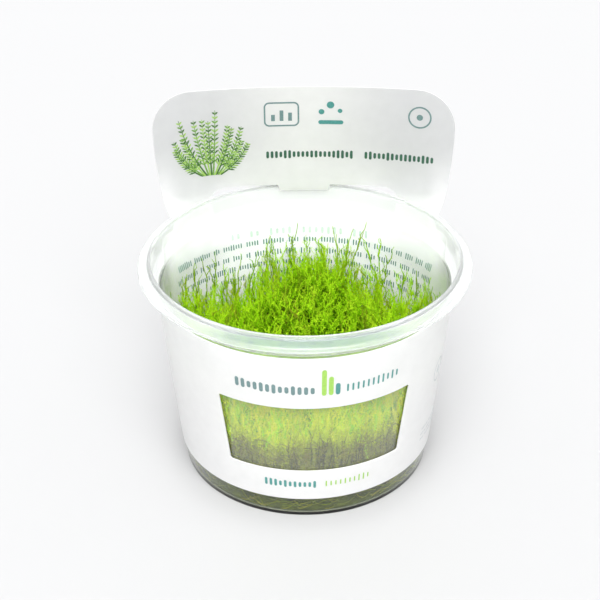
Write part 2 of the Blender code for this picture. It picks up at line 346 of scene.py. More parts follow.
def range_of(value, low, high):
    """A value from 0 to 1, moved to run from low to high."""
    return node_of(value.id_data, "ShaderNodeMapRange", value, To_Min=low, To_Max=high).outputs["Result"]


def rise(value, start, full):
    """0 up to the start, then a smooth rise to 1."""
    settings = {"From_Min": start, "From_Max": full, "interpolation_type": "SMOOTHSTEP"}
    return node_of(value.id_data, "ShaderNodeMapRange", value, **settings).outputs["Result"]


def math_of(operation, first, second=None):
    """A Math node's result. At least one of its inputs is a socket."""
    tree = (first if isinstance(first, bpy.types.NodeSocket) else second).id_data
    return node_of(tree, "ShaderNodeMath", first, second, operation=operation).outputs[0]


def times(first, *others):
    """The product of sockets and numbers."""
    for other in others:
        first = math_of("MULTIPLY", first, other)
    return first


def distance_out(x, y):
    """How far a place is from the cup's axis."""
    return math_of("SQRT", math_of("ADD", times(x, x), times(y, y)))


def mixed(share, first, second, blend="MIX"):
    """Mixes two colours. Each is a socket or a colour."""
    tree = (share if isinstance(share, bpy.types.NodeSocket) else first).id_data
    mix = node_of(tree, "ShaderNodeMix", share, data_type="RGBA", blend_type=blend)
    for socket, value in ((mix.inputs[6], first), (mix.inputs[7], second)):
        put(socket, (*value, 1) if isinstance(value, tuple) else value)
    return mix.outputs[2]


def add_bump(shader, height, strength, distance):
    bump = node_of(height.id_data, "ShaderNodeBump", Height=height, Strength=strength, Distance=distance)
    put(shader.inputs["Normal"], bump.outputs["Normal"])


def blend_shaders(tree, share, shader, other):
    """Makes the surface a mix of two shaders."""
    mix = node_of(tree, "ShaderNodeMixShader", share, shader.outputs["BSDF"], other.outputs["BSDF"])
    put(tree.nodes["Material Output"].inputs["Surface"], mix.outputs["Shader"])


def let_light_through(tree, shader, color, share):
    """Mixes in a translucent shader of the same colour, for a thin sheet."""
    blend_shaders(tree, share, shader, node_of(tree, "ShaderNodeBsdfTranslucent", Color=color))


def clear_plastic():
    """Clear polypropylene, milkier in the thick rim. Lamp light passes through it."""
    material, tree, shader = new_material("clear_polypropylene", IOR=1.42)
    cloud = noise_at(object_place(tree), 90)
    fill(shader, {"Base_Color": plastic_tint(tree), "Roughness": range_of(cloud, 0.04, 0.10)})
    put(shader.inputs["Transmission Weight"], clearness(tree))
    add_bump(shader, noise_at(object_place(tree, (1, 1, 0.25)), 160), 0.025, 0.0004)
    lamp_light = node_of(tree, "ShaderNodeLightPath").outputs["Is Shadow Ray"]
    clear = node_of(tree, "ShaderNodeBsdfTransparent", Color=(0.965, 0.975, 0.97, 1))
    blend_shaders(tree, lamp_light, shader, clear)
    return material


def clearness(tree):
    """How clear the plastic is: milkier in the ledge, lip and flange, and faintly veiled over the window as
    a painted reflection.
    """
    x, y, z = object_axes(tree)
    levels = [(share, (value, value, value)) for share, value in CLEARNESS]
    wall = ramp_of(math_of("DIVIDE", z, LIP_TOP), levels)
    spared = times(rise(math_of("ABSOLUTE", x), *SPARED_OUT), rise(y, *SPARED_BACK))
    milk = times(rise(y, *BACK_MILK_RISE), math_of("SUBTRACT", 1.0, spared), BACK_MILK)
    flange = math_of("GREATER_THAN", distance_out(x, y), FLANGE_START)
    flange = times(flange, math_of("SUBTRACT", FLANGE_CLEARNESS, milk))
    within = math_of("LESS_THAN", math_of("ABSOLUTE", math_of("SUBTRACT", x, REFLECTION_VEIL_MIDDLE)), REFLECTION_VEIL_HALF_WIDTH)
    front = math_of("LESS_THAN", y, 0.0)
    above = math_of("GREATER_THAN", z, BAND_BOTTOM)
    below = math_of("LESS_THAN", z, BAND_TOP)
    # Painted reflection: a faint milky veil over the front of the window.
    reflection_veil = times(within, front, above, below, REFLECTION_VEIL)
    return math_of("SUBTRACT", math_of("MAXIMUM", wall, flange), reflection_veil)


def plastic_tint(tree):
    """The plastic takes on the gel's colour at the foot, and has grey-green painted shade in the front of
    the flange.
    """
    x, y, z = object_axes(tree)
    foot = mixed(rise(z, 0.0, FOOT_TINT_TOP), FOOT_TINT, PLASTIC)
    upper = mixed(rise(z, *RIM_TINT_RISE), foot, RIM_TINT)
    # Painted shade: a grey-green band in the flange, stronger to the front.
    front = rise(times(y, -1.0), *FLANGE_PAINTED_SHADE_RISE)
    return mixed(times(front, hump(distance_out(x, y), FLANGE_PAINTED_SHADE_BAND)), upper, FLANGE_PAINTED_SHADE)


def hump(value, band):
    """0, then a smooth rise to 1 and a smooth fall to 0, between the four limits of the band."""
    return math_of("SUBTRACT", rise(value, *band[:2]), rise(value, *band[2:]))


def white_card(name, lightest, shaded):
    """Smooth coated card with a faint fibre grain. The shaded side has painted shade in its colour."""
    material, tree, shader = new_material(name, IOR=1.5, Specular_IOR_Level=0.4)
    place = object_place(tree)
    mottle = noise_at(place, 260, 4)
    color = ramp_of(mottle, [(0.3, tuple(c - 0.03 for c in lightest)), (0.7, lightest)])
    if shaded:
        # Painted shade: the inner side is darkened over the header and at both sides inside the cup.
        color = mixed(1, color, painted_shade(tree), "MULTIPLY")
    fill(shader, {"Base_Color": color, "Roughness": range_of(mottle, 0.36, 0.50)})
    add_bump(shader, noise_at(place, 2600), 0.15, 0.00004)
    let_light_through(tree, shader, color, 0.30)
    return material


def painted_shade(tree):
    """Painted shade in the card's colour: at both sides inside the cup, and over the header, deeper to its
    top and sides.
    """
    x, _, z = object_axes(tree)
    sideways = math_of("ABSOLUTE", x)
    foot = times(rise(z, *SHADE_FOOT), hump(sideways, SHADE_FOOT_BAND))
    header = mixed(rise(sideways, 0.0, SHADE_REACH), SHADE_MIDDLE, SHADE_SIDE)
    return mixed(rise(z, *SHADE_RISE), mixed(foot, (1, 1, 1), SHADE_FOOT_SIDE), header)


def ink(name, color):
    """Printed ink, a touch glossier than the card and slightly uneven."""
    material, tree, shader = new_material(name)
    speck = noise_at(object_place(tree), 1800)
    lighter = tuple(min(1.0, c * 1.25 + 0.02) for c in color)
    uneven = ramp_of(speck, [(0.35, color), (0.75, lighter)])
    fill(shader, {"Base_Color": uneven, "Roughness": range_of(speck, 0.30, 0.45)})
    return material


def agar():
    """Cloudy gel, tinted olive by what has grown into it."""
    material, tree, shader = new_material("agar_gel", IOR=1.34, Specular_IOR_Level=0.1)
    place = object_place(tree, (1, 1, 1.6))
    grain = noise_at(place, 700, 3)
    color = ramp_of(noise_at(place, 150, 4, 0.6), GEL_COLORS)
    fill(shader, {"Base_Color": color, "Roughness": range_of(grain, 0.12, 0.45)})
    add_bump(shader, grain, 0.25, 0.0003)
    return material


def moss_leaf(name, tones, worn, glow):
    """Thin leaves that let light through. Tone runs from old to young, and also carries painted shade and
    painted light; wear browns a leaf.
    """
    material, tree, shader = new_material(name, IOR=1.4, Specular_IOR_Level=0.1)
    fleck = noise_at(object_place(tree), 1500)
    tone = node_of(tree, "ShaderNodeAttribute", attribute_name="tone").outputs["Fac"]
    wear = node_of(tree, "ShaderNodeAttribute", attribute_name="wear").outputs["Fac"]
    shifted = math_of("ADD", range_of(fleck, -0.11, 0.11), tone)
    color = mixed(wear, ramp_of(shifted, tuple(zip(LEAF_TONE_PLACES, tones))), worn)
    fill(shader, {"Base_Color": color, "Roughness": range_of(fleck, 0.38, 0.62)})
    let_light_through(tree, shader, color, glow)
    return material


def moss_depth():
    """The inside of the cushion: brown-olive low down, light green at the sides as painted light, dark above
    as painted shade.
    """
    material, tree, shader = new_material("moss_depth", Roughness=0.9, Specular_IOR_Level=0.1)
    patch = noise_at(object_place(tree, (1, 1, 0.5)), 320, 5, 0.65)
    low, side, top = [ramp_of(patch, tuple(zip(DEPTH_PLACES, colors))) for colors in DEPTH_COLORS]
    x, y, z = object_axes(tree)
    # Painted light at the sides near the window, painted shade on top between the shoots.
    above = mixed(rise(distance_out(x, y), *DEPTH_SIDE_RISE), top, side)
    fill(shader, {"Base_Color": mixed(rise(z, *DEPTH_GREEN_RISE), low, above)})
    add_bump(shader, patch, 0.8, 0.0015)
    return material


# Mesh helpers


def add_object(name, mesh, material):
    obj = bpy.data.objects.new(name, mesh)
    bpy.context.scene.collection.objects.link(obj)
    mesh.materials.append(material)
    return obj


def arc(centre, radius, start, end, steps):
    """Points on an arc, from one angle in degrees to the other."""
    angles = np.radians(np.linspace(start, end, steps + 1))
    return [(centre[0] + radius * math.cos(a), centre[1] + radius * math.sin(a)) for a in angles]


def rounded(corners, steps=5):
    """A profile with rounded corners. Each corner is a radius, a height and the size of its rounding."""
    points = []
    for i, (r, z, size) in enumerate(corners):
        here = np.array((r, z))
        if size == 0 or i in (0, len(corners) - 1):
            points.append((r, z))
            continue
        before = np.array(corners[i - 1][:2]) - here
        after = np.array(corners[i + 1][:2]) - here
        reach = min(size, 0.48 * np.linalg.norm(before), 0.48 * np.linalg.norm(after))
        start = here + before / np.linalg.norm(before) * reach
        end = here + after / np.linalg.norm(after) * reach
        for t in np.linspace(0, 1, steps + 1):
            point = (1 - t) ** 2 * start + 2 * t * (1 - t) * here + t * t * end
            points.append((point[0], point[1]))
    return points


def shade_outward(mesh, change=None):
    """Turns the faces of a closed mesh outward, once a change is made to it, and shades it smooth."""
    work = bmesh.new()
    work.from_mesh(mesh)
    if change:
        change(work)
    bmesh.ops.recalc_face_normals(work, faces=work.faces)
    work.to_mesh(mesh)
    work.free()
    mesh.shade_smooth()


def level_ring(radius, z, steps):
    """Points all round the axis at one height, with one radius for all or one for each."""
    angles = np.arange(steps) * 2 * math.pi / steps
    return np.stack([radius * np.cos(angles), radius * np.sin(angles), np.full(steps, z)], -1)


def ring_mesh(name, rings):
    """A closed mesh from rings of points. A ring without a width becomes one point."""
    steps = len(rings[0])
    faces = []
    for i in range(len(rings) - 1):
        for j in range(steps):
            k = (j + 1) % steps
            faces.append((i * steps + j, (i + 1) * steps + j, (i + 1) * steps + k, i * steps + k))
    faces.append([(len(rings) - 1) * steps + j for j in range(steps)])
    mesh = bpy.data.meshes.new(name)
    mesh.from_pydata(np.concatenate(rings).tolist(), [], faces)
    shade_outward(mesh, lambda work: bmesh.ops.remove_doubles(work, verts=work.verts, dist=1e-6))
    return mesh


def turned(name, profile, material):
    """A closed solid of revolution about Z from a profile that starts and ends on the axis."""
    mesh = ring_mesh(name, [level_ring(r, z, CUP_STEPS) for r, z in profile])
    mesh.set_sharp_from_angle(angle=math.radians(35))
    return add_object(name, mesh, material)


def triangle_mesh(name, points, triangles, tones, wears, material):
    """A mesh of triangles with a tone and a wear for each point."""
    mesh = bpy.data.meshes.new(name)
    mesh.vertices.add(len(points))
    mesh.vertices.foreach_set("co", np.asarray(points, np.float32).ravel())
    mesh.loops.add(3 * len(triangles))
    mesh.loops.foreach_set("vertex_index", np.asarray(triangles, np.int32).ravel())
    mesh.polygons.add(len(triangles))
    mesh.polygons.foreach_set("loop_start", np.arange(0, 3 * len(triangles), 3, dtype=np.int32))
    mesh.update(calc_edges=True)
    for kind, values in (("tone", tones), ("wear", wears)):
        attribute = mesh.attributes.new(kind, "FLOAT", "POINT")
        attribute.data.foreach_set("value", np.asarray(values, np.float32))
    return add_object(name, mesh, material)


def smoothstep(value):
    value = np.clip(value, 0.0, 1.0)
    return value * value * (3 - 2 * value)


def unit(vectors):
    return vectors / np.maximum(np.linalg.norm(vectors, axis=-1, keepdims=True), 1e-12)


def wall_radius(z):
    """The cup's outer radius at a height."""
    return BASE_RADIUS + WALL_TAPER * z


def inner_radius(z):
    return wall_radius(z) - WALL


# Cup and gel


def cup_profile():
    """Floor, inner wall, ledge, lip, flange, skirt, outer wall and foot, each corner with its rounding."""
    corners = [
        (0, 1.0, 0),
        (41.29, 1.0, 0.7),
        (47.55, 66.9, 0.9),
        (49.55, 68.9, 0.6),
        (50.05, 69.6, 0.8),
        (50.35, 75.0, 0.5),
        (50.5, 76.0, 0.4),
        (51.1, 76.0, 0.4),
        (51.4, 75.4, 0.5),
        (54.55, 73.75, 0.7),
        (54.9, 73.1, 0.4),
        (54.9, 72.3, 0.25),
        (54.2, 72.3, 0.25),
        (54.05, 73.1, 0.35),
        (51.6, 74.6, 0.5),
        (51.1, 74.0, 0.5),
        (50.85, 69.1, 0.7),
        (50.2, 68.2, 0.5),
        (48.6, 67.0, 0.6),
        (48.3, 66.3, 0.5),
        (42.05, 0.5, 0),
        (41.9, 0.0, 0.9),
        (38.7, 0.0, 0.3),
        (38.4, 0.3, 0.3),
        (0, 0.3, 0),
    ]
    return rounded([(r * MM, z * MM, size * MM) for r, z, size in corners])


def make_cup(material):
    cup = turned("clear_cup", cup_profile(), material)
    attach(cup, "root")
    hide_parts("cup")


def make_gel(material):
    low = FLOOR_TOP + GAP
    rim = GEL_TOP + GEL_MENISCUS
    edge = inner_radius(rim) - GAP
    corners = [
        (0, GEL_TOP, 0),
        (edge - 3.5 * MM, GEL_TOP, 1.0 * MM),
        (edge - 1.0 * MM, GEL_TOP + 0.3 * GEL_MENISCUS, 0.6 * MM),
        (edge, rim, 0),
        (inner_radius(low) - GAP, low, 0.7 * MM),
        (0, low, 0),
    ]
    gel = turned("agar_gel_disc", rounded(corners), material)
    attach(gel, "root")
    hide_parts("gel")


# Card


def mirrored(right):
    """An outline from its right half, which runs upward."""
    return right + [(-s, z) for s, z in reversed(right)]


def header_half_width(z):
    drop = max(SIDE_ARC_START - z, 0)
    return HEADER_HALF_WIDTH - drop * drop / (2 * SIDE_ARC_RADIUS)


def blank_outline():
    """The flat card's outline: the band, with the header on its upper edge."""
    foot = BAND_TOP + SHOULDER_FILLET
    heights = np.linspace(foot, SIDE_ARC_START, 16)
    right = arc((header_half_width(foot) + SHOULDER_FILLET, foot), SHOULDER_FILLET, 270, 180, 8)[:-1]
    right += [(header_half_width(z), z) for z in heights]
    corner_centre = (HEADER_HALF_WIDTH - HEADER_CORNER, HEADER_TOP - HEADER_CORNER)
    right += arc(corner_centre, HEADER_CORNER, 0, 90, 20)
    start = FLAT_PER_RADIAN * SEAM_INNER_END
    end = FLAT_PER_RADIAN * SEAM_OUTER_END
    return [(start, BAND_BOTTOM), (end, BAND_BOTTOM), (end, BAND_TOP), *mirrored(right), (start, BAND_TOP)]


def slot_outline():
    foot = (SLOT_HALF_WIDTH - SLOT_FOOT_CORNER, BAND_TOP + SLOT_FOOT_CORNER)
    right = arc(foot, SLOT_FOOT_CORNER, -90, 0, 5)
    right += arc((SLOT_HALF_WIDTH - SLOT_CORNER, SLOT_TOP - SLOT_CORNER), SLOT_CORNER, 0, 90, 10)
    right += [(TONGUE_ROOT_HALF_WIDTH, SLOT_TOP), (TONGUE_HALF_WIDTH, TONGUE_BOTTOM)]
    return mirrored(right)


def window_outline():
    middle = FLAT_PER_RADIAN * WINDOW_ANGLE
    top = FLAT_PER_RADIAN * WINDOW_TOP_HALF_ANGLE
    bottom = FLAT_PER_RADIAN * WINDOW_BOTTOM_HALF_ANGLE
    c = WINDOW_CORNER
    right = arc((bottom - c, WINDOW_BOTTOM + c), c, -90, 0, 5) + arc((top - c, WINDOW_TOP - c), c, 0, 90, 5)
    return [(middle + s, z) for s, z in mirrored(right)]


def header_face(s, z):
    """The header's front face: a sheet bowed forward at its sides, and leaning a little forward."""
    share = (z - SLOT_TOP) / (HEADER_TOP - SLOT_TOP)
    bow = BOW_AT_SLOT + (BOW_AT_TOP - BOW_AT_SLOT) * share
    y = HEADER_FACE_Y - HEADER_LEAN * (z - SLOT_TOP) - (1 - np.cos(s * bow)) / bow
    return np.stack([np.sin(s * bow) / bow, y, z], -1)


def band_face(s, z):
    """The band's inner face: it follows the cup's cone, and one end lies over the other at the seam."""
    angle = s / FLAT_PER_RADIAN
    over = smoothstep((angle - SEAM_RAMP_START) / SEAM_RAMP) * (CARD + SEAM_GAP)
    radius = wall_radius(z) + GAP + over
    return np.stack([radius * np.sin(angle), radius * np.cos(angle), z], -1)


def card_face(s, z):
    """The inner face of the whole card: on the cup up to LIFT_START, then lifting off it into the header."""
    lift = smoothstep((z - LIFT_START) / (LIFT_END - LIFT_START))
    below = smoothstep((np.abs(s) - LIFT_INNER) / (SLOT_HALF_WIDTH - LIFT_INNER))
    lift = np.where(z < BAND_TOP + 0.1 * MM, lift * below, lift)
    beyond = smoothstep((np.abs(s) - HEADER_HALF_WIDTH) / LIFT_INNER)
    lift = (lift * (1 - beyond))[..., None]
    return band_face(s, z) * (1 - lift) + header_face(s, z) * lift


def wrap(s, depth, z):
    """Points of the flat card, moved to their place on the wrapped card."""
    step = 0.2 * MM
    across = card_face(s + step, z) - card_face(s - step, z)
    upward = card_face(s, z + step) - card_face(s, z - step)
    out = np.cross(upward, across)
    out /= np.linalg.norm(out, axis=-1, keepdims=True)
    return card_face(s, z) + depth[..., None] * out


def cut_into_cells(work, cell):
    """Cuts flat faces along evenly spaced lines, so that they can follow a curved sheet."""
    corners = np.array([v.co for v in work.verts])
    for axis, direction in ((0, (1, 0, 0)), (2, (0, 0, 1))):
        low, high = corners[:, axis].min(), corners[:, axis].max()
        for i in range(math.floor(low / cell) + 1, math.ceil(high / cell)):
            place = [0, 0, 0]
            place[axis] = i * cell
            everything = work.verts[:] + work.edges[:] + work.faces[:]
            bmesh.ops.bisect_plane(work, geom=everything, plane_co=place, plane_no=direction, dist=1e-6)


def split_large_faces(work):
    bmesh.ops.triangulate(work, faces=[face for face in work.faces if len(face.verts) > 4])


def wrapped_sheet(name, work, low, high, cell, material, inner_material=None):
    """Gives flat faces a thickness and wraps them as the card is wrapped."""
    cut_into_cells(work, cell)
    bmesh.ops.translate(work, verts=work.verts, vec=(0, low, 0))
    extruded = bmesh.ops.extrude_face_region(work, geom=list(work.faces))
    moved = [item for item in extruded["geom"] if isinstance(item, bmesh.types.BMVert)]
    bmesh.ops.translate(work, verts=moved, vec=(0, high - low, 0))
    bmesh.ops.recalc_face_normals(work, faces=work.faces)
    if inner_material:
        for face in work.faces:
            face.material_index = 1 if face.normal.y < -0.9 else 0
    mesh = bpy.data.meshes.new(name)
    work.to_mesh(mesh)
    work.free()
    flat = np.empty(3 * len(mesh.vertices), np.float32)
    mesh.vertices.foreach_get("co", flat)
    flat = flat.reshape(-1, 3).astype(float)
    placed = wrap(flat[:, 0], flat[:, 1], flat[:, 2])
    mesh.vertices.foreach_set("co", placed.astype(np.float32).ravel())
    mesh.update()
    shade_outward(mesh, split_large_faces)
    mesh.set_sharp_from_angle(angle=math.radians(40))
    sheet = add_object(name, mesh, material)
    if inner_material:
        mesh.materials.append(inner_material)
    return sheet


def make_card(material, inner_material):
    work = bmesh.new()
    edges = []
    for outline in (blank_outline(), slot_outline(), window_outline()):
        ring = [work.verts.new((s, 0, z)) for s, z in outline]
        edges += [work.edges.new((ring[i - 1], ring[i])) for i in range(len(ring))]
    bmesh.ops.triangle_fill(work, use_beauty=True, use_dissolve=False, edges=edges)
    card = wrapped_sheet("card_sleeve", work, 0, CARD, CARD_CELL, material, inner_material)
    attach(card, "root")
    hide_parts("card_wrap")


# Print on the card: plain generic marks, with their lengths in millimetres


def ribbon(points, half_widths):
    """Quads along a line of points on the flat card, as wide at each as its half width says."""
    points = np.asarray(points, float)
    along = unit(np.gradient(points, axis=0))
    side = np.stack([-along[:, 1], along[:, 0]], -1) * np.asarray(half_widths)[:, None]
    upper, lower = points + side, points - side
    return [[lower[i], lower[i + 1], upper[i + 1], upper[i]] for i in range(len(points) - 1)]


def bar(start, end, height, middle):
    """A lying bar with rounded ends."""
    cap = height / 2
    inner = np.linspace(start + cap, end - cap, max(2, math.ceil((end - start) / 1.2)))
    turn = np.radians(np.linspace(90, 8, 6))
    left = start + cap - cap * np.sin(turn)
    right = end - cap + cap * np.sin(turn[::-1])
    ends = cap * np.cos(turn)
    halves = np.concatenate([ends, np.full(len(inner) - 2, cap), ends[::-1]])
    return ribbon([(s, middle) for s in np.concatenate([left, inner[1:-1], right])], halves)


def ring(centre, radius, stroke_width, steps=36):
    return ribbon(arc(centre, radius, 0, 360, steps), np.full(steps + 1, stroke_width / 2))


def disc(centre, radius):
    turn = np.radians(np.linspace(4, 176, 15))
    return ribbon([(centre[0] - radius * math.cos(a), centre[1]) for a in turn], radius * np.sin(turn))


def frame_shape(left, bottom, right, top, corner, stroke_width):
    """The outline of a rectangle with rounded corners."""
    points = []
    places = ((right, bottom, -90), (right, top, 0), (left, top, 90), (left, bottom, 180))
    for s, z, start in places:
        inward = (corner if s == left else -corner, corner if z == bottom else -corner)
        points += arc((s + inward[0], z + inward[1]), corner, start, start + 90, 6)
    points.append(points[0])
    return ribbon(points, np.full(len(points), stroke_width / 2))


def print_piece(name, quads, outside, material):
    """One colour of print, as a film of ink on the inside or the outside of the card."""
    work = bmesh.new()
    for quad in quads:
        work.faces.new([work.verts.new((s * MM, 0, z * MM)) for s, z in quad])
    bmesh.ops.remove_doubles(work, verts=work.verts, dist=1e-7)
    low, high = (CARD + INK_LOW, CARD + INK_HIGH) if outside else (-INK_HIGH, -INK_LOW)
    film = wrapped_sheet(name, work, low, high, INK_CELL, material)
    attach(film, "root")


def stroke(place, middle, height, width):
    """An upright stroke with rounded ends."""
    cap = width / 2
    ends = np.array((0.04, 0.35, 1.0)) * cap
    halves = np.sqrt(cap ** 2 - (cap - ends) ** 2)
    low = middle - height / 2
    heights = np.concatenate([low + ends, low + height - ends[::-1]])
    return ribbon([(place, z) for z in heights], np.concatenate([halves, halves[::-1]]))


def strokes(start, end, level, size, rng):
    """A row of upright strokes, centred on the level line and some of them shorter.

    The size is a height, a width and the step from one stroke to the next.
    """
    height, width, pitch = size
    quads = []
    for place in np.arange(start + width / 2, end, pitch):
        quads += stroke(place, level(place), height * rng.choice((0.7, 0.85, 1.0)), width)
    return quads


def words(start, end, level, size, rng):
    """Groups of upright strokes with spaces between them, as words make on a line."""
    pitch = size[2]
    quads = []
    place = start
    while place < end - 2 * pitch:
        length = min(pitch * rng.integers(2, 9), end - place)
        quads += strokes(place, place + length, level, size, rng)
        place += length + 1.3 * pitch
    return quads


def level_at(z):
    return lambda s: z


def rising_level(z, middle=0.0):
    """A straight printed row, which rises to both sides once the card is round the cone."""
    turn = PRINT_RISE_ANGLE * MM / FLAT_PER_RADIAN
    return lambda s: z + PRINT_RISE_RADIUS * (1 - math.cos((s - middle) * turn))


def sprig(root, rng):
    """A drawn tuft of leafy stems that fan out from one root. Returns quads in three tones."""
    tones = ([], [], [])
    stems, count = 13, 16
    for i in range(stems):
        share = i / (stems - 1) * 2 - 1
        lean = math.radians(46 * share + rng.uniform(-4, 4))
        length = 25 - 9 * share * share + rng.uniform(-3, 3)
        angles = lean * (1.25 - 0.9 * np.arange(count - 1) / count)
        steps = np.stack([np.sin(angles), np.cos(angles)], -1) * length / count
        points = np.array((root[0] + 3.2 * share, root[1])) + np.vstack([(0, 0), np.cumsum(steps, axis=0)])
        tones[i % 3].extend(ribbon(points, np.linspace(0.32, 0.08, count)))
        for j in range(3, count - 1):
            along = unit(points[j] - points[j - 1])
            size = 2.5 - 1.4 * j / count
            for side in (-1, 1):
                across = np.array((-along[1], along[0])) * side
                tip = points[j] + (along * 0.75 + across * 0.8) * size
                middle = (points[j] + tip) / 2 + along * 0.12 * size
                tones[(i + j) % 3].extend(ribbon([points[j], middle, tip], (0.05, 0.34, 0.03)))
    return tones


def print_header(slate, teal, rng):
    """The sprig, the title row, the framed bars and the ring in slate, and the dots over a bar in teal."""
    moss_inks = (
        ink("ink_moss_dark", (0.055, 0.140, 0.030)),
        ink("ink_moss_mid", (0.150, 0.300, 0.060)),
        ink("ink_moss_light", (0.300, 0.480, 0.110)),
    )
    for tone, quads, material in zip(("dark", "mid", "light"), sprig((-32.7, 82), rng), moss_inks):
        print_piece("header_sprig_" + tone, quads, False, material)
    title = []
    for start, end in ((-13.2, 18.2), (21.4, 45.7)):
        title += strokes(start, end, level_at(88.5), (3.2, 0.95, 1.55), rng)
    print_piece("header_title_strokes", title, False, ink("ink_dark_green", (0.035, 0.105, 0.070)))
    icons = frame_shape(-13.5, 99.8, -1.8, 108.5, 1.6, 0.55)
    for place, height in ((-10.6, 2.4), (-7.65, 4.0), (-4.7, 3.1)):
        icons += ribbon([(place, 101.6), (place, 101.6 + height)], (0.65, 0.65))
    icons += ring((40.2, 104.3), 3.8, 0.55) + disc((40.2, 104.3), 1.1)
    print_piece("header_icons", icons, False, slate)
    dots = bar(5.1, 13.8, 1.5, 101.0)
    for place, height, radius in ((6.2, 105.0, 1.0), (9.3, 107.6, 1.3), (12.6, 105.4, 0.8)):
        dots += disc((place, height), radius)
    print_piece("header_dots", dots, False, teal)


def print_inside(rng):
    """Rows of fine strokes inside the cup, with a pale row above them that shows through from the back."""
    rows = []
    for z, start, end in ((54.9, -56, 57), (50.5, -58, 58), (46.3, -58, 60), (42.1, -40, 52)):
        rows += words(start, end, rising_level(z), (2.2, 0.42, 1.05), rng)
    print_piece("inner_text_strokes", rows, False, ink("ink_deep_teal", (0.020, 0.150, 0.120)))
    through = words(-28, 25, rising_level(58.6), BACK_ROW_SIZE, rng)
    print_piece("inner_show_through", through, False, ink("ink_show_through", (0.52, 0.64, 0.56)))


def print_band(slate, teal, rng):
    """Rows of strokes over and under the window, with three bars in the upper one."""
    window = FLAT_PER_RADIAN / MM * WINDOW_ANGLE
    row = rising_level(54.0, window)
    dark = strokes(window + 0.8, window + 27.6, row, (3.6, 1.25, 2.05), rng)
    middle = strokes(window - 27.6, window - 9.2, row, (3.4, 0.6, 1.75), rng)
    light = []
    for quads, place, height in ((middle, -6.6, 4.5), (light, -4.4, 7.3), (light, -2.2, 10.1)):
        quads += stroke(window + place, 51.9 + height / 2, height, 1.5)
    row = rising_level(14.6, window)
    middle += strokes(window + 0.1, window + 19.7, row, (3.0, 0.95, 1.75), rng)
    light += strokes(window - 19.6, window - 2.4, row, (2.8, 0.5, 1.75), rng)
    print_piece("band_strokes_dark", dark, True, slate)
    print_piece("band_strokes_teal", middle, True, teal)
    print_piece("band_strokes_leaf", light, True, ink("ink_leaf_green", (0.290, 0.520, 0.085)))


def print_side_and_back(teal, rng):
    """A ring and small rows at one side, and rows and an empty square at the back."""
    side = FLAT_PER_RADIAN / MM * math.radians(110)
    marks = ring((side, 40.5), 4.2, 0.5) + disc((side, 40.5), 1.5)
    for z in (20.4, 18.2, 16.0):
        marks += words(side - 8, side + 9, level_at(z), (1.1, 0.3, 0.8), rng)
    print_piece("band_side_marks", marks, True, ink("ink_grey", (0.560, 0.590, 0.600)))
    marks = words(-28, 25, rising_level(58.6), BACK_ROW_SIZE, rng)
    for z in (50.0, 46.8, 43.6):
        marks += words(-27, 26, rising_level(z), (1.3, 0.32, 0.9), rng)
    marks += frame_shape(-9, 19, 9, 37, 1.2, 0.5)
    print_piece("back_marks", marks, True, teal)


def make_print():
    rng = np.random.default_rng(SEED)
    slate = ink("ink_slate", (0.130, 0.215, 0.215))
    teal = ink("ink_teal", (0.055, 0.235, 0.215))
    print_header(slate, teal, rng)
    print_inside(rng)
    print_band(slate, teal, rng)
    print_side_and_back(teal, rng)


# Camera, floor and light


def make_camera():
    data = bpy.data.cameras.new("camera")
    data.lens = CAMERA_LENS
    data.sensor_width = 36
    data.clip_start = 0.01
    data.clip_end = 50
    camera = bpy.data.objects.new("camera", data)
    bpy.context.scene.collection.objects.link(camera)
    bpy.context.scene.camera = camera
    back = (CAMERA_PLACE - CAMERA_TARGET).normalized()
    right = Vector((1, 0, 0))
    up = back.cross(right)
    c, s = math.cos(CAMERA_ROLL), math.sin(CAMERA_ROLL)
    right, up = c * right + s * up, c * up - s * right
    turn = Matrix((right, up, back)).transposed().to_4x4()
    camera.matrix_world = Matrix.Translation(CAMERA_PLACE) @ turn


def make_stage():
    """A pale floor that runs on behind, and soft light from all round, above and the front."""
    half = FLOOR_HALF
    corners = [(-half, -half, 0), (half, -half, 0), (half, half, 0), (-half, half, 0)]
    mesh = bpy.data.meshes.new("floor")
    mesh.from_pydata(corners, [], [(0, 1, 2, 3)])
    floor = add_object("floor", mesh, new_material("floor", Base_Color=FLOOR_COLOR, Roughness=0.6)[0])
    floor.location.z = -FLOOR_DROP
    world = bpy.data.worlds.new("studio")
    world.use_nodes = True
    fill(world.node_tree.nodes["Background"], {"Color": WORLD_COLOR, "Strength": WORLD_LIGHT})
    bpy.context.scene.world = world
    for name, direction, spread, strength in LAMPS:
        data = bpy.data.lights.new(name, "SUN")
        data.energy = strength
        data.angle = math.radians(spread)
        light = bpy.data.objects.new(name, data)
        bpy.context.scene.collection.objects.link(light)
        light.location = direction
        light.rotation_euler = Vector(direction).to_track_quat("Z", "Y").to_euler()
    bpy.context.scene.view_settings.view_transform = "Standard"


# Moss


def bent_paths(roots, tips, bows, count):
    """Smooth centre lines from root to tip, each bowed sideways at its middle."""
    t = np.linspace(0, 1, count)[None, :, None]
    middles = (roots + tips) / 2 + bows
    return (1 - t) ** 2 * roots[:, None] + 2 * t * (1 - t) * middles[:, None] + t * t * tips[:, None]


def crinkle(paths, amount, waves, rng):
    """Side-to-side bends that grow from the root on."""
    strands, count = paths.shape[:2]
    t = np.linspace(0, 1, count)[None, :, None]
    for number in waves:
        turn = rng.uniform(0, 2 * math.pi, (strands, 1, 3))
        speed = number * rng.uniform(0.7, 1.3, (strands, 1, 1))
        size = amount * rng.uniform(0.4, 1.0, (strands, 1, 1)) / number
        paths = paths + size * np.sin(2 * math.pi * speed * t + turn) * np.sqrt(t) * (1, 1, 0.3)
    return paths


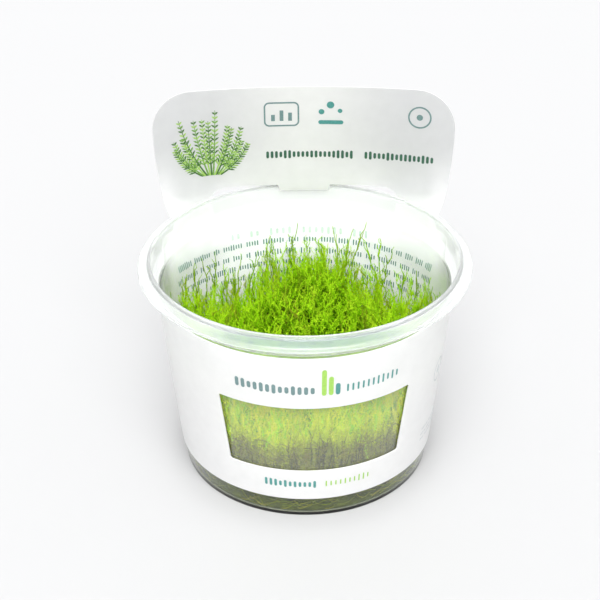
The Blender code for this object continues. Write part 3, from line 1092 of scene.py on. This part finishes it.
def along_paths(paths, owner, share):
    """Places at some shares of the way along their paths, and the number of the path's point before each."""
    at = share * (paths.shape[1] - 1)
    index = np.minimum(at.astype(int), paths.shape[1] - 2)
    part = (at - index)[:, None]
    return paths[owner, index] * (1 - part) + paths[owner, index + 1] * part, index


def side_shoots(paths, per_strand, lengths, spread, rng):
    """Centre lines of side shoots: they leave their parent at an angle and bend up beside it."""
    parent = np.repeat(np.arange(len(paths)), per_strand)
    total = len(parent)
    roots, index = along_paths(paths, parent, rng.uniform(0.15, 0.85, total))
    along = unit(paths[parent, index + 1] - paths[parent, index])
    side = unit(np.cross(along, rng.normal(size=(total, 3))))
    angle = rng.uniform(*spread, total)[:, None]
    out = along * np.cos(angle) + side * np.sin(angle)
    length = rng.uniform(*lengths, total)[:, None]
    upward = unit(out + np.array((0, 0, 0.5)))
    tips = roots + upward * length
    bows = (out - upward) * length * 0.3
    paths = crinkle(bent_paths(roots, tips, bows, 6), 0.9 * MM, (1.1, 2.3), rng)
    return keep_inside(paths), parent


# Shoots as centre lines, with a thickness, tone and wear for each. The depth shade is painted shade, with
# some
# older growth in it: how much they darken for each millimetre down, how far below the cover's top that
# starts, and how far from the lit wall it is full
Shoots = namedtuple("Shoots", "paths radii tones wears fade")

# How leaves sit on a shoot: the step between them, their length, the range of degrees to which they open, by
# how much that closes to the tip, and by what share they shrink to it
LeafKind = namedtuple("LeafKind", "step size opening closing shrink")


def tones_at(shoots, owner, points):
    """The tone of each point: its shoot's own, less painted shade, with some older growth in it, below the
    top of the cover.
    """
    rate, start, shelter = shoots.fade
    x, y, z = points.T
    depth = (cover_height(x, y) - z - start) / MM
    inward = inner_radius(z) - np.hypot(x, y)
    return shoots.tones[owner] - rate * np.clip(depth, -3, 12) * smoothstep(inward / shelter)


def stems_of(shoots, u, v):
    """Three-sided stems, thinner to the tip, each closed at its end."""
    strands, count = shoots.paths.shape[:2]
    t = np.linspace(0, 1, count)
    radius = shoots.radii[:, None] * (1 - STEM_TAPER * t)[None]
    angles = np.arange(3) * 2 * math.pi / 3
    cosines, sines = np.cos(angles)[:, None], np.sin(angles)[:, None]
    around = cosines * u[:, :, None] + sines * v[:, :, None]
    points = (shoots.paths[:, :, None] + radius[:, :, None, None] * around).reshape(-1, 3)
    tones = tones_at(shoots, np.repeat(np.arange(strands), count * 3), points) - STEM_DARKER
    first = (np.arange(strands) * count * 3)[:, None, None]
    a = first + (np.arange(count - 1) * 3)[None, :, None] + np.arange(3)[None, None]
    b = first + (np.arange(count - 1) * 3)[None, :, None] + (np.arange(3)[None, None] + 1) % 3
    triangles = [
        np.stack([a, b, b + 3], -1).reshape(-1, 3),
        np.stack([a, b + 3, a + 3], -1).reshape(-1, 3),
        first[:, :, 0] + (count - 1) * 3 + np.array([[0, 1, 2]]),
        first[:, :, 0] + np.array([[0, 2, 1]]),
    ]
    return points, np.concatenate(triangles), tones, np.repeat(shoots.wears, count * 3)


def leaves_of(shoots, kind, u, v, tangents, rng):
    """Small pointed leaves in a spiral along each shoot."""
    strands = len(shoots.radii)
    lengths = np.linalg.norm(np.diff(shoots.paths, axis=1), axis=2).sum(1)
    counts = np.maximum((lengths / kind.step).astype(int), 3)
    owner = np.repeat(np.arange(strands), counts)
    order = np.arange(len(owner)) - np.repeat(np.cumsum(counts) - counts, counts)
    share = (order + 0.7) / counts[owner]
    here, index = along_paths(shoots.paths, owner, share)
    along = tangents[owner, index]
    turn = order * GOLDEN_ANGLE + rng.uniform(0, 6.28, strands)[owner] + rng.normal(0, 0.3, len(owner))
    radial = np.cos(turn)[:, None] * u[owner, index] + np.sin(turn)[:, None] * v[owner, index]
    across = np.cross(along, radial)
    opening = np.radians(rng.uniform(*kind.opening, len(owner)) - kind.closing * share ** 2)[:, None]
    size = kind.size * rng.uniform(0.75, 1.2, len(owner)) * (1 - kind.shrink * share ** 2)
    stem = (shoots.radii[owner] * (1 - STEM_TAPER * share))[:, None]
    foot = here + radial * stem * 0.6
    tip = foot + (along * np.cos(opening) + radial * np.sin(opening)) * size[:, None]
    half = across * (LEAF_HALF_WIDTH * size[:, None])
    points = np.stack([foot - half, foot + half, tip], 1).reshape(-1, 3)
    # Leaves darken towards the shoot's root: older growth, and partly painted shade.
    tones = tones_at(shoots, owner, foot) + SHOOT_CONTRAST * (share - 0.5)
    tones += rng.normal(0, LEAF_SPREAD, len(owner))
    tones = (tones[:, None] + np.array((-LEAF_CONTRAST, -LEAF_CONTRAST, LEAF_CONTRAST))).reshape(-1)
    return points, np.arange(len(points)).reshape(-1, 3), tones, np.repeat(shoots.wears[owner], 3)


def strand_geometry(shoots, kind, rng):
    """The stems and the leaves of some shoots."""
    tangents = unit(np.gradient(shoots.paths, axis=1))
    sideways = unit(rng.normal(size=(len(shoots.radii), 1, 3)) * (1, 1, 0.2))
    u = unit(np.cross(tangents, sideways))
    v = np.cross(tangents, u)
    return [stems_of(shoots, u, v), leaves_of(shoots, kind, u, v, tangents, rng)]


def leafy(shoots, kind, per_strand, branch_lengths, spread, rng):
    """The triangles of some shoots and of their side shoots."""
    branches, parent = side_shoots(shoots.paths, per_strand, branch_lengths, spread, rng)
    tones = shoots.tones[parent] + 0.05
    side = Shoots(branches, shoots.radii[parent] * 0.75, tones, shoots.wears[parent], shoots.fade)
    smaller = kind._replace(size=kind.size * 0.85)
    return strand_geometry(shoots, kind, rng) + strand_geometry(side, smaller, rng)


def joined(pieces):
    starts = np.cumsum([0] + [len(piece[0]) for piece in pieces[:-1]])
    points, triangles, tones, wears = zip(*pieces)
    moved = [part + start for part, start in zip(triangles, starts)]
    return np.concatenate(points), np.concatenate(moved), np.concatenate(tones), np.concatenate(wears)


def hill(x, y, centre, size, sharpness=2):
    """1 at the centre, falling smoothly to 0 past the size."""
    far = np.hypot((x - centre[0] * MM) / (size[0] * MM), (y - centre[1] * MM) / (size[1] * MM))
    return np.exp(-far ** sharpness)


def cover_height(x, y):
    """How high the close cover stands: a mound behind the middle, thinner at both sides of it."""
    height = 50 + 6 * hill(x, y, MOUND, MOUND_SIZE, 3.5)
    height -= 16 * hill(x, y, LEFT_DIP, DIP_SIZE) + 15 * hill(x, y, RIGHT_DIP, DIP_SIZE)
    height += 1.6 * np.sin(x * 210 + 1) * np.sin(y * 170 + 2)
    return height * MM


def canopy(x, y):
    """The cover with its small hollows."""
    hollows = sum(hill(x, y, place[:2], (place[2], place[2] * 1.5), 3) for place in HOLLOWS)
    return cover_height(x, y) - HOLLOW_DEPTH * np.minimum(hollows, 1)


def make_core(material):
    """The inside of the cushion: a lumpy closed form below the shoots."""
    count, steps = 34, 110
    rng = np.random.default_rng(SEED + 1)
    rings = []
    for i in range(count + 1):
        radius = (inner_radius(30 * MM) - 2.6 * MM) * i / count
        row = level_ring(radius, 0, steps)
        below = 12 - 6.5 * smoothstep((radius / MM - 33) / 6)
        top = canopy(row[:, 0], row[:, 1]) - below * MM + rng.uniform(-1.8, 1.8, steps) * MM
        if i == 0:
            top[:] = top.mean()
        row[:, 2] = top - (2.5 * MM if i == count else 0)
        rings.append(row)
    for z in (27 * MM, 23 * MM, 18 * MM, GEL_TOP + GEL_MENISCUS + GAP):
        radii = inner_radius(z) - 2.3 * MM + rng.uniform(-0.8, 0.3, steps) * MM
        rings.append(level_ring(radii, z, steps))
    settle_moss(add_object("moss_core", ring_mesh("moss_core", rings), material))


def settle_moss(piece):
    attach(piece, "root")
    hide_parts("moss_cushion")


def scatter(spacing, reach, rng):
    """Places in the cup's mouth, spread evenly but not in rows."""
    columns = int(2 * reach / spacing) + 2
    grid = (np.arange(columns) - columns / 2) * spacing
    x, y = np.meshgrid(grid, grid)
    x = x.ravel() + rng.uniform(-0.5, 0.5, x.size) * spacing
    y = y.ravel() + rng.uniform(-0.5, 0.5, y.size) * spacing
    inside = np.hypot(x, y) < reach
    return x[inside], y[inside]


def keep_inside(paths):
    """Draws in any point that would reach the cup's wall."""
    limit = inner_radius(paths[..., 2]) - WALL_MARGIN
    far = np.hypot(paths[..., 0], paths[..., 1])
    share = np.minimum(limit / np.maximum(far, 1e-9), 1)[..., None]
    return np.concatenate([paths[..., :2] * share, paths[..., 2:]], -1)


def standing(x, y, top, length, rng, lean, bow, twist, waves, count):
    """Centre lines of upright shoots with their tips at the given heights. The twist is in millimetres."""
    roots = np.stack([x, y, top - length], -1)
    tilt = rng.normal(0, lean, (len(x), 2)) * length[:, None]
    tips = np.stack([x + tilt[:, 0], y + tilt[:, 1], top], -1)
    bows = rng.normal(0, bow, (len(x), 3)) * length[:, None] * (1, 1, 0)
    return keep_inside(crinkle(bent_paths(roots, tips, bows, count), twist * MM, waves, rng))


def low_shoots(rng):
    """The low, darker layer of the close cover."""
    x, y = scatter(LOW_SPACING, inner_radius(TURF_EDGE) - 1.2 * MM, rng)
    top = canopy(x, y) - rng.uniform(3, 7, len(x)) * MM
    length = rng.uniform(8, 11, len(x)) * MM
    paths = standing(x, y, top, length, rng, lean=0.25, bow=0.2, twist=2.0, waves=(1.0, 2.5), count=10)
    tones = np.clip(rng.normal(0.80, 0.12, len(x)), 0.3, 1.1)
    wears = np.clip(rng.normal(-0.10, 0.22, len(x)), 0, 0.8)
    return Shoots(paths, rng.uniform(0.12, 0.16, len(x)) * MM, tones, wears, (0.05, 0, 7 * MM))


def turf_shoots(rng):
    """The upright shoots of the close cover, which stand out of it to uneven heights."""
    x, y = scatter(TURF_SPACING, inner_radius(TURF_EDGE) - 1.2 * MM, rng)
    top = canopy(x, y) + rng.normal(-0.3, 2.8, len(x)) * MM
    length = rng.uniform(14, 20, len(x)) * MM
    paths = standing(x, y, top, length, rng, lean=0.13, bow=0.09, twist=2.0, waves=(1.2, 3.1), count=16)
    # Painted light: shoots to the front, more so to the sides of the middle, get a lighter tone.
    front = smoothstep((10 * MM - y) / (20 * MM))
    aside = smoothstep((np.abs(x) - 7 * MM) / (8 * MM))
    tones = np.clip(rng.normal(0.84, 0.15, len(x)) + front * (0.18 + 0.12 * aside), 0.3, 1.3)
    wears = np.clip(rng.normal(-0.12, 0.22, len(x)), 0, 0.8)
    return Shoots(paths, rng.uniform(0.13, 0.18, len(x)) * MM, tones, wears, (0.042, 0, 7 * MM))


def thin_shoots(rng):
    """Longer, looser shoots that stand out of the cover from its middle to the back."""
    x, y = scatter(THIN_SPACING, inner_radius(THIN_EDGE) - 1.5 * MM, rng)
    kept = (y > np.where(np.abs(x) > 26 * MM, -11, -2) * MM) & (rng.uniform(0, 1, len(x)) < 0.87)
    x, y = x[kept], y[kept]
    top = np.minimum(canopy(x, y) + rng.uniform(2, 19, len(x)) * MM, rng.uniform(48, 60, len(x)) * MM)
    length = rng.uniform(17, 25, len(x)) * MM
    paths = standing(x, y, top, length, rng, lean=0.09, bow=0.07, twist=1.5, waves=(1.3, 3.1), count=18)
    tones = np.clip(rng.normal(0.80, 0.12, len(x)), 0.3, 1)
    wears = np.clip(rng.normal(0.05, 0.28, len(x)), 0, 0.8)
    return Shoots(paths, rng.uniform(0.18, 0.26, len(x)) * MM, tones, wears, (0.03, 2 * MM, 7 * MM))


def tall_shoots(rng):
    """The few tallest shoots, each in its own place."""
    places = np.array(TALL_SHOOTS) * MM
    tips = places[:, :3]
    roots = np.stack([tips[:, 0] + places[:, 3], tips[:, 1] - 2 * MM, tips[:, 2] - 27 * MM], -1)
    bows = np.stack([places[:, 4], rng.normal(0, 1.0, len(places)) * MM, np.zeros(len(places))], -1)
    paths = keep_inside(crinkle(bent_paths(roots, tips, bows, 18), 1.1 * MM, (1.6, 3.6), rng))
    count = len(places)
    tones = rng.uniform(0.60, 0.80, count)
    return Shoots(paths, np.full(count, 0.31 * MM), tones, rng.uniform(0.05, 0.4, count), (0.025, 0, 7 * MM))


def behind_wall(angle, depth, z):
    """Places behind the cup's inner wall. The angle runs from the front."""
    radius = inner_radius(z) - depth
    return np.stack([radius * np.sin(angle), -radius * np.cos(angle), z], -1)


def wall_shoots(rng):
    """Shoots that climb close behind the wall where the window shows them, lighter above and darker below,
    partly old growth and partly painted shade.
    """
    angles, depths = np.meshgrid(np.radians(np.arange(-44, 53, 2.0)), np.array((0.9, 1.7)) * MM)
    angles = angles.ravel() + rng.normal(0, math.radians(0.9), angles.size)
    depths = depths.ravel() + rng.uniform(-0.3, 0.3, depths.size) * MM
    low = rng.uniform(12.5, 24, len(angles)) * MM
    high = rng.uniform(45, 55, len(angles)) * MM
    lean = rng.normal(0, math.radians(4), len(angles))
    roots = behind_wall(angles, depths, low)
    tips = behind_wall(angles + lean, depths, high)
    bows = rng.normal(0, 1.2, (len(angles), 3)) * MM * (1, 1, 0)
    paths = keep_inside(crinkle(bent_paths(roots, tips, bows, 16), 1.8 * MM, (1.2, 2.8), rng))
    patches = 0.14 * np.sin(angles * 5 + 3.3) + 0.08 * np.sin(angles * 23 + 2)
    tones = np.clip(rng.normal(0.92, 0.12, len(angles)) + patches, 0.3, 1.15)
    wears = np.clip(rng.normal(0.0, 0.2, len(angles)), 0, 0.6)
    return Shoots(paths, rng.uniform(0.11, 0.16, len(angles)) * MM, tones, wears, (0.046, 14 * MM, 0.1 * MM))


def creeping_shoots(count, angles, heights, depth, climb, tones, wears, rng):
    """Old shoots that lie against the cup's wall: on the gel's side, or low behind the window."""
    angle = rng.uniform(*angles, count)
    z = rng.uniform(*heights, count)
    along = rng.uniform(3, 8, count) * MM
    slope = rng.normal(0, climb, count) * along
    t = np.linspace(-0.5, 0.5, 10)[None]
    places = z[:, None] + slope[:, None] * t + rng.normal(0, 0.8, (count, 1)) * MM * (0.25 - t * t) * 4
    places = np.clip(places, heights[0] - 0.3 * MM, heights[1] + 0.7 * MM)
    paths = behind_wall(angle[:, None] + along[:, None] * t / BASE_RADIUS, depth, places)
    radii = np.full(count, 0.11 * MM)
    return Shoots(paths, radii, rng.uniform(*tones, count), rng.uniform(*wears, count), (0, 0, MM))


def make_moss(material, painted_lit):
    """All the shoots, in pieces that each hold one kind or one part of the cushion."""
    rng = np.random.default_rng(SEED + 2)
    steep = (math.radians(14), math.radians(32))
    narrow = (math.radians(20), math.radians(55))
    wide = (math.radians(25), math.radians(75))
    turf = turf_shoots(rng)
    middle = turf.paths[:, 0]
    sector = ((np.arctan2(middle[:, 1], middle[:, 0]) / (2 * math.pi) + 0.5) * 5).astype(int) % 5
    close = LeafKind(0.34 * MM, 0.82 * MM, (45, 85), 25, 0.25)
    loose = LeafKind(0.30 * MM, 0.92 * MM, (40, 75), 35, 0.50)
    open_leaves = LeafKind(0.40 * MM, 0.85 * MM, (55, 95), 10, 0.2)
    small = LeafKind(0.40 * MM, 0.50 * MM, (40, 70), 30, 0.3)
    for i in range(5):
        own = Shoots(*(values[sector == i] for values in turf[:4]), turf.fade)
        pieces = leafy(own, close, 3, (3 * MM, 6.5 * MM), narrow, rng)
        settle_moss(triangle_mesh(f"moss_turf_{i + 1}", *joined(pieces), material))
    pieces = leafy(low_shoots(rng), close, 2, (2 * MM, 5 * MM), wide, rng)
    settle_moss(triangle_mesh("moss_low_turf", *joined(pieces), material))
    pieces = leafy(thin_shoots(rng), loose, 4, (3 * MM, 7 * MM), steep, rng)
    pieces += leafy(tall_shoots(rng), loose._replace(size=0.85 * MM), 4, (3 * MM, 9 * MM), steep, rng)
    settle_moss(triangle_mesh("moss_tall_shoots", *joined(pieces), material))
    pieces = leafy(wall_shoots(rng), open_leaves, 6, (3 * MM, 7 * MM), wide, rng)
    window = (math.radians(-43), math.radians(52))
    low = creeping_shoots(110, window, (17 * MM, 30 * MM), 0.6 * MM, 0.9, (0.0, 0.5), (0.05, 0.4), rng)
    pieces += strand_geometry(low, small, rng)
    settle_moss(triangle_mesh("moss_behind_window", *joined(pieces), painted_lit))
    around = (0, 2 * math.pi)
    foot = creeping_shoots(260, around, (2.5 * MM, 11.5 * MM), 0.16 * MM, 0.45, (0.35, 0.6), (0.5, 0.9), rng)
    settle_moss(triangle_mesh("moss_on_gel_side", *joined(strand_geometry(foot, small, rng)), material))


def main():
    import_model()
    make_camera()
    make_stage()
    make_cup(clear_plastic())
    make_gel(agar())
    outside = white_card("white_card", CARD_OUTSIDE, False)
    make_card(outside, white_card("white_card_inside", CARD_INSIDE, True))
    make_print()
    make_core(moss_depth())
    # Painted light: a lighter, yellower copy of the leaf colours for the shoots behind the window.
    painted_lit = moss_leaf("creeping_moss_painted_lit", PAINTED_LIT_TONES, PAINTED_LIT_WORN, 0.40)
    make_moss(moss_leaf("creeping_moss", LEAF_TONES, LEAF_WORN, 0.32), painted_lit)


main()
